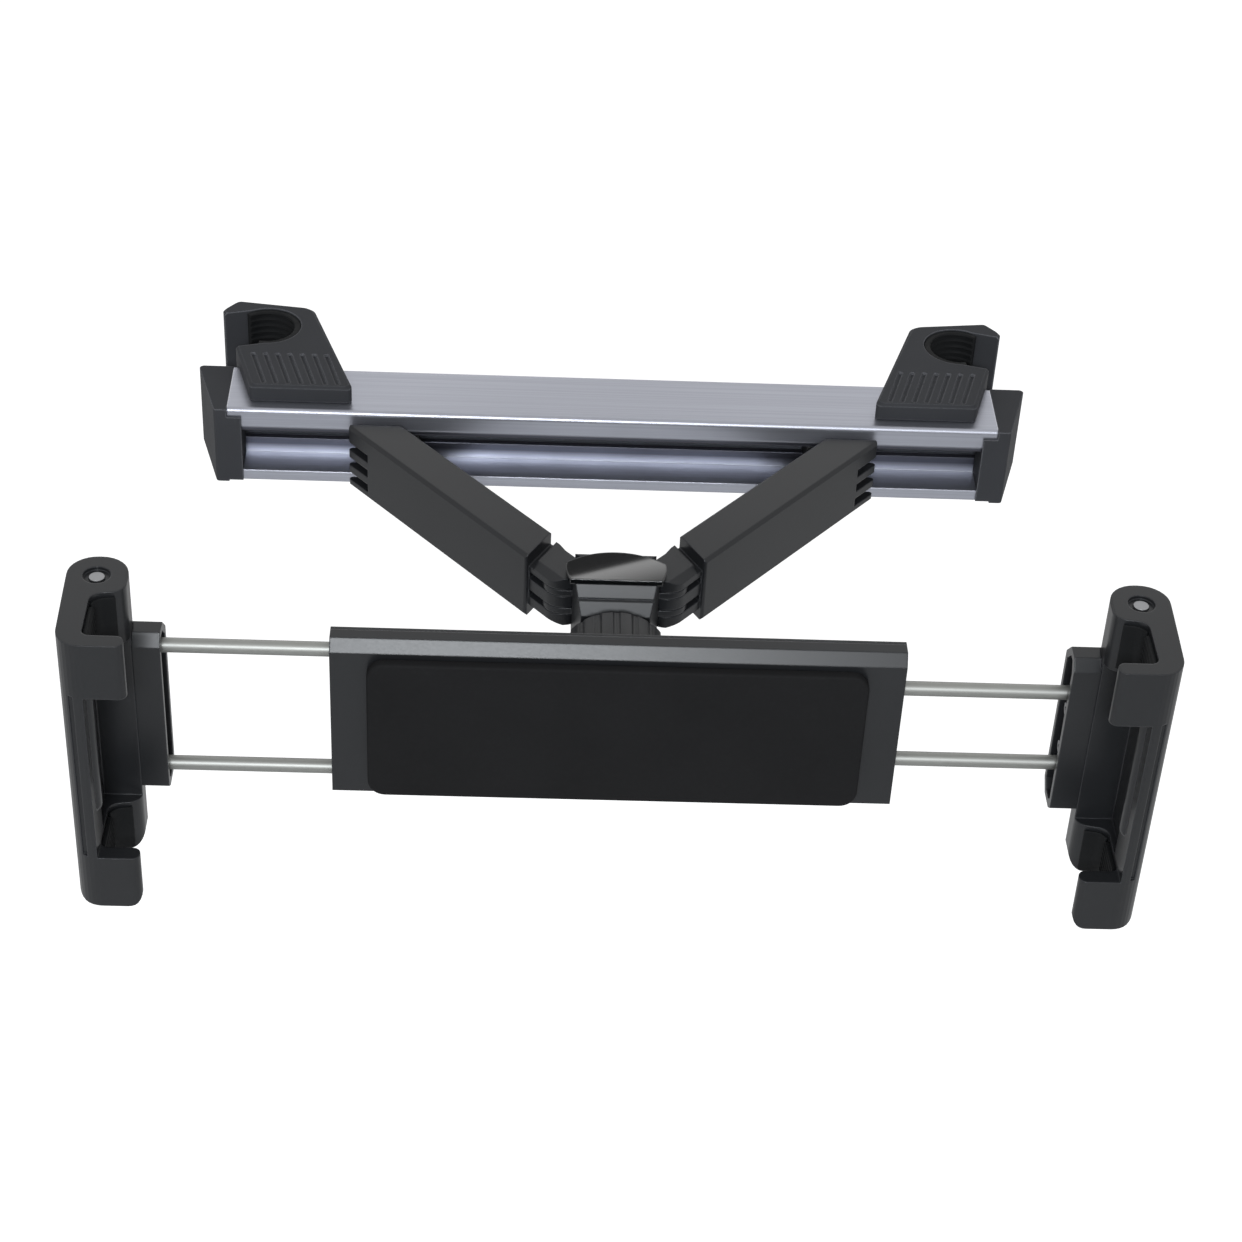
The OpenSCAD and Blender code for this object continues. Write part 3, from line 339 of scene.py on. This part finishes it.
def make_pad(node_name):
    """The holder's pad: round corners, a soft front edge and a field that rises a little to its middle."""
    low, high = corners(node_name)
    size = high - low
    corner_r, edge, crown = 3.5 * MM, 0.6 * MM, 0.15 * MM
    border, slope = 1.2 * MM, 1.8 * MM
    pad = add_plane(1.0)
    pad.scale = (size.x, size.z, 1.0)
    bpy.ops.object.transform_apply(location=False, rotation=False, scale=True)
    bpy.ops.object.mode_set(mode="EDIT")
    bpy.ops.mesh.select_all(action="SELECT")
    bpy.ops.mesh.bevel(offset=corner_r, segments=8, affect="VERTICES")
    bpy.ops.mesh.extrude_region_move(TRANSFORM_OT_translate={"value": (0.0, 0.0, size.y - crown)})
    bpy.ops.mesh.inset(thickness=border, depth=0.0)
    bpy.ops.mesh.inset(thickness=slope, depth=crown)
    bpy.ops.object.mode_set(mode="OBJECT")
    add_modifier(pad, "BEVEL", width=edge, segments=5, limit_method="ANGLE", angle_limit=SHARP)
    pad.rotation_euler.x = math.radians(90)
    pad.location = ((low.x + high.x) / 2, high.y, (low.z + high.z) / 2)
    keep_mesh(pad, "rubber_pad", pad_rubber)
    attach(pad, "holder")
    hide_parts(node_name)


def make_path(points):
    """A mesh of edges through points in X and Y."""
    path = add_plane(1.0)
    bpy.ops.object.mode_set(mode="EDIT")
    bpy.ops.mesh.select_all(action="SELECT")
    bpy.ops.mesh.merge(type="CENTER")
    bpy.ops.transform.translate(value=(points[0][0], points[0][1], 0.0))
    for before, after in zip(points, points[1:]):
        step = (after[0] - before[0], after[1] - before[1], 0.0)
        bpy.ops.mesh.extrude_region_move(TRANSFORM_OT_translate={"value": step})
    bpy.ops.object.mode_set(mode="OBJECT")
    return path


def make_skin(points, low_z, height, thickness):
    """A rubber wall with soft edges that stands on a path, half of it to either side."""
    edge = 0.2 * MM
    skin = make_path(points)
    bpy.ops.object.mode_set(mode="EDIT")
    bpy.ops.mesh.select_all(action="SELECT")
    bpy.ops.mesh.extrude_region_move(TRANSFORM_OT_translate={"value": (0.0, 0.0, height)})
    bpy.ops.object.mode_set(mode="OBJECT")
    skin.location.z = low_z
    add_modifier(skin, "SOLIDIFY", thickness=thickness, offset=0.0)
    add_modifier(skin, "BEVEL", width=edge, segments=3, limit_method="ANGLE", angle_limit=SHARP)
    return skin


def make_ribs(points, low_z, height, radius, pitch):
    """Round ribs along a path, one above the other."""
    make_path(points)
    bpy.ops.object.convert(target="CURVE")
    curve = bpy.context.object.data
    curve.bevel_depth, curve.bevel_resolution, curve.use_fill_caps = radius, 2, True
    bpy.ops.object.convert(target="MESH")
    rib = bpy.context.object
    count = int((height - 2 * radius) / pitch) + 1
    rib.location.z = low_z + (height - (count - 1) * pitch) / 2
    add_modifier(rib, "ARRAY", count=count, use_relative_offset=False, use_constant_offset=True,
                 constant_offset_displace=(0.0, 0.0, pitch))
    return rib


def join_rubber(skin, ribs, name, node_name, body):
    """Joins a wall and its ribs, and puts them in the place of a CAD lining."""
    keep_mesh(skin, name, grip_rubber)
    keep_mesh(ribs, name + "_ribs", grip_rubber)
    skin.select_set(True)
    bpy.context.view_layer.objects.active = skin
    bpy.ops.object.join()
    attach(skin, body)
    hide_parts(node_name)


def make_grip(side, height_name):
    """A ribbed grip in a jaw, bent round from the wall to the lip."""
    node_name = f"{side}_{height_name}_grip"
    low, high = corners(node_name)
    grip_t, rib_r, rib_pitch = 1.2 * MM, 0.3 * MM, 1.3 * MM
    turn, turn_cut, end_gap = 0.8 * MM, 0.24 * MM, 0.3 * MM
    sign = -1 if side == "left" else 1
    wall_x = low.x if side == "left" else high.x
    lip_x = high.x if side == "left" else low.x

    def path(depth):
        x, y = wall_x - sign * depth, low.y + depth
        return [(x, high.y - end_gap), (x, y + turn), (x - sign * turn_cut, y + turn_cut),
                (x - sign * turn, y), (lip_x + sign * end_gap, y)]

    skin_t = grip_t - rib_r
    skin = make_skin(path(skin_t / 2), low.z, high.z - low.z, skin_t)
    ribs = make_ribs(path(skin_t), low.z, high.z - low.z, rib_r, rib_pitch)
    join_rubber(skin, ribs, f"{side}_{height_name}_grip_rubber", node_name, f"{side}_jaw_body")


def make_back_grip(side, height_name):
    """A thin rubber sheet on the column's face, across the slot from the lip."""
    grip_low, grip_high = corners(f"{side}_{height_name}_grip")
    jaw_low, jaw_high = corners(f"{side}_jaw")
    column_d, lip_reach, column_round = 11.7 * MM, 1.7 * MM, 1.8 * MM
    sheet_t, turn = 0.5 * MM, 2.4 * MM
    lean_out, lean_range = 0.6 * MM, 1.0 * MM
    sign = -1 if side == "left" else 1
    column_x = min(abs(jaw_low.x), abs(jaw_high.x)) + lip_reach
    wall_x = max(abs(grip_low.x), abs(grip_high.x))
    face_y = jaw_high.y - column_d

    def point(x, y):
        lean = lean_out - lean_range * (x - column_x) / (wall_x - column_x)
        return (sign * x, y + lean - sheet_t / 2)

    points = [point(column_x + column_round, face_y)]
    for degrees in (0, 25, 50, 70):
        bend = math.radians(degrees)
        points.append(point(wall_x - turn + (turn - sheet_t / 2) * math.sin(bend),
                            face_y - turn * (1 - math.cos(bend))))
    piece = make_skin(points, grip_low.z, grip_high.z - grip_low.z, sheet_t)
    keep_mesh(piece, f"{side}_{height_name}_back_rubber", grip_rubber)
    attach(piece, f"{side}_jaw_body")


def make_liner(side):
    """A ribbed lining round three sides of a headrest post, whose ribs stop just short of the post."""
    node_name = f"{side}_hook_liner"
    low, high = corners(node_name)
    mount = next(m for m in frame["record"]["mounts"] if m["name"] == f"{side}_post")
    centre = Vector(mount["pos_m"])
    post_r, liner_t = 6.0 * MM, 1.6 * MM
    rib_r, rib_pitch, rib_gap = 0.35 * MM, 1.6 * MM, 0.105 * MM
    mouth_turn, mouth_half, steps = math.radians(-16), math.radians(62), 28
    sign = -1 if side == "left" else 1

    def path(radius):
        span = 2 * math.pi - 2 * mouth_half
        angles = [mouth_turn + mouth_half + span * i / steps for i in range(steps + 1)]
        return [(centre.x + sign * radius * math.cos(a), centre.y + radius * math.sin(a)) for a in angles]

    skin_t = liner_t - rib_r - rib_gap
    skin = make_skin(path(post_r + liner_t - skin_t / 2), low.z, high.z - low.z, skin_t)
    ribs = make_ribs(path(post_r + liner_t - skin_t), low.z, high.z - low.z, rib_r, rib_pitch)
    join_rubber(skin, ribs, f"{side}_liner_rubber", node_name, f"{side}_hook_body")


make_pad("holder_pad")
for side in ("left", "right"):
    make_liner(side)
    for height_name in ("upper", "lower"):
        make_grip(side, height_name)
        make_back_grip(side, height_name)


# Camera, light and backdrop

TARGET = Vector((0.0, -0.12, 0.0))    # the lamps face this point between the hub and the holder


def set_camera():
    """The photograph's view: a long lens, looking down at 37 degrees."""
    photo_px, focal_px, sensor_w = 1242.0, 2777.25, 36.0
    nearest, farthest = 0.01, 20.0
    eye = Vector((-0.019119, -0.548796, 0.345762))
    forward = Vector((0.0353, 0.79787, -0.60179)).normalized()
    yaw, roll = math.radians(2.53), math.radians(3.09)
    right = Vector((math.cos(yaw), -math.sin(yaw), 0.0))
    right = (right - forward * right.dot(forward)).normalized()
    up = right.cross(forward)
    across = right * math.cos(roll) + up * math.sin(roll)
    upward = up * math.cos(roll) - right * math.sin(roll)
    data = bpy.data.cameras.new("photo_camera")
    data.sensor_width = sensor_w
    data.lens = sensor_w * focal_px / photo_px
    data.clip_start, data.clip_end = nearest, farthest
    camera = bpy.data.objects.new("photo_camera", data)
    bpy.context.scene.collection.objects.link(camera)
    turn = Matrix((across, upward, -forward)).transposed().to_4x4()
    camera.matrix_world = Matrix.Translation(eye) @ turn
    bpy.context.scene.camera = camera


def towards(azimuth, elevation, distance):
    """A point at a distance from the object; azimuth 0 is straight in front of the tablet side."""
    turn, rise = math.radians(azimuth), math.radians(elevation)
    flat = math.cos(rise)
    return TARGET + distance * Vector((flat * math.sin(turn), -flat * math.cos(turn), math.sin(rise)))


def set_softbox(name, place, width, height, power, tint=(1.0, 1.0, 1.0)):
    """One rectangular studio lamp that faces the object."""
    data = bpy.data.lights.new(name, "AREA")
    data.shape = "RECTANGLE"
    data.size, data.size_y, data.energy, data.color = width, height, power, tint
    lamp = bpy.data.objects.new(name, data)
    bpy.context.scene.collection.objects.link(lamp)
    lamp.location = place
    lamp.rotation_euler = (TARGET - place).to_track_quat("-Z", "Y").to_euler()


def seen_rays(tree):
    """One for rays from the camera, from glossy surfaces and through glass."""
    rays = add_node(tree, "ShaderNodeLightPath").outputs
    seen = rays["Is Camera Ray"]
    for kind in ("Is Glossy Ray", "Is Transmission Ray"):
        seen = add_node(tree, "ShaderNodeMath", {"Value": seen, "Value_001": rays[kind]}, "Value",
                        operation="MAXIMUM")
    return seen


def set_world(level):
    """White where it is seen, also in gloss and glass, and a plain grey light on the object."""
    world = bpy.data.worlds.new("studio")
    bpy.context.scene.world = world
    world.use_nodes = True
    tree = world.node_tree
    tree.nodes.clear()
    strength = add_node(tree, "ShaderNodeMapRange", {"Value": seen_rays(tree), "To Min": level}, "Result")
    light = add_node(tree, "ShaderNodeBackground", {"Color": WHITE, "Strength": strength}, "Background")
    add_node(tree, "ShaderNodeOutputWorld", {"Surface": light})


def set_card():
    """A card seen only in gloss: half of it dark, half bright, with a slanting edge in the hub cap."""
    cap = Vector((0.0, -0.0823, 0.0077))
    mirrored = Vector((0.0332, 0.81, 0.587)).normalized()
    card_side, reach, slant = 0.12, 0.8, math.radians(73.7)
    edge_w, fade_w = 1.2 * MM, 14.0 * MM
    dark, brightest, faded = 0.05, 4.0, 0.3
    card = add_plane(card_side)
    card.name = "slant_card"
    facing = (-mirrored).to_track_quat("Z", "Y").to_matrix() @ Matrix.Rotation(slant, 3, "Z")
    card.matrix_world = Matrix.Translation(cap + reach * mirrored) @ facing.to_4x4()
    material, tree, shader, place = new_material("card_glow", {"Base Color": BLACK, "Emission Color": WHITE})
    across = add_node(tree, "ShaderNodeSeparateXYZ", {"Vector": place}, "X")
    halves = add_node(tree, "ShaderNodeMapRange",
                      {"Value": across, "From Min": -edge_w, "From Max": 0.0, "To Min": dark}, "Result")
    fading = add_node(tree, "ShaderNodeMapRange",
                      {"Value": across, "From Max": fade_w, "To Min": brightest, "To Max": faded}, "Result")
    strength = add_node(tree, "ShaderNodeMath", {"Value": halves, "Value_001": fading}, "Value",
                        operation="MULTIPLY")
    tree.links.new(strength, shader.inputs["Emission Strength"])
    card.data.materials.append(material)
    card.visible_camera = False
    card.visible_diffuse = False
    card.visible_shadow = False


def set_floor():
    """A pale floor well below the mount, white to the camera, with the mount's soft shadow."""
    floor_side, floor_z = 6.0, -0.35
    pale, white = 0.1, 0.5
    floor = add_plane(floor_side)
    floor.location.z = floor_z
    floor.name = "studio_floor"
    material, tree, shader, _ = new_material(
        "pale_floor", {"Base Color": linear("#f4f4f4"), "Roughness": 0.9, "Emission Color": WHITE})
    camera_ray = add_node(tree, "ShaderNodeLightPath", output="Is Camera Ray")
    glow = add_node(tree, "ShaderNodeMath", {"Value": seen_rays(tree), "Value_001": pale}, "Value",
                    operation="MULTIPLY")
    glow = add_node(tree, "ShaderNodeMath",
                    {"Value": camera_ray, "Value_001": white, "Value_002": glow}, "Value",
                    operation="MULTIPLY_ADD")
    tree.links.new(glow, shader.inputs["Emission Strength"])
    floor.data.materials.append(material)


set_camera()
set_world(level=0.42)
set_floor()
set_card()
set_softbox("front_softbox", towards(azimuth=-4.2, elevation=34, distance=1.1), width=0.3, height=0.15,
            power=8.0, tint=(0.92, 0.96, 1.0))
set_softbox("rear_softbox", towards(azimuth=177.5, elevation=24, distance=1.5), width=1.3, height=0.52,
            power=1.0)
set_softbox("left_softbox", towards(azimuth=-60, elevation=35, distance=1.3), width=0.5, height=0.5,
            power=0.8)

bpy.context.scene.view_settings.view_transform = "Standard"
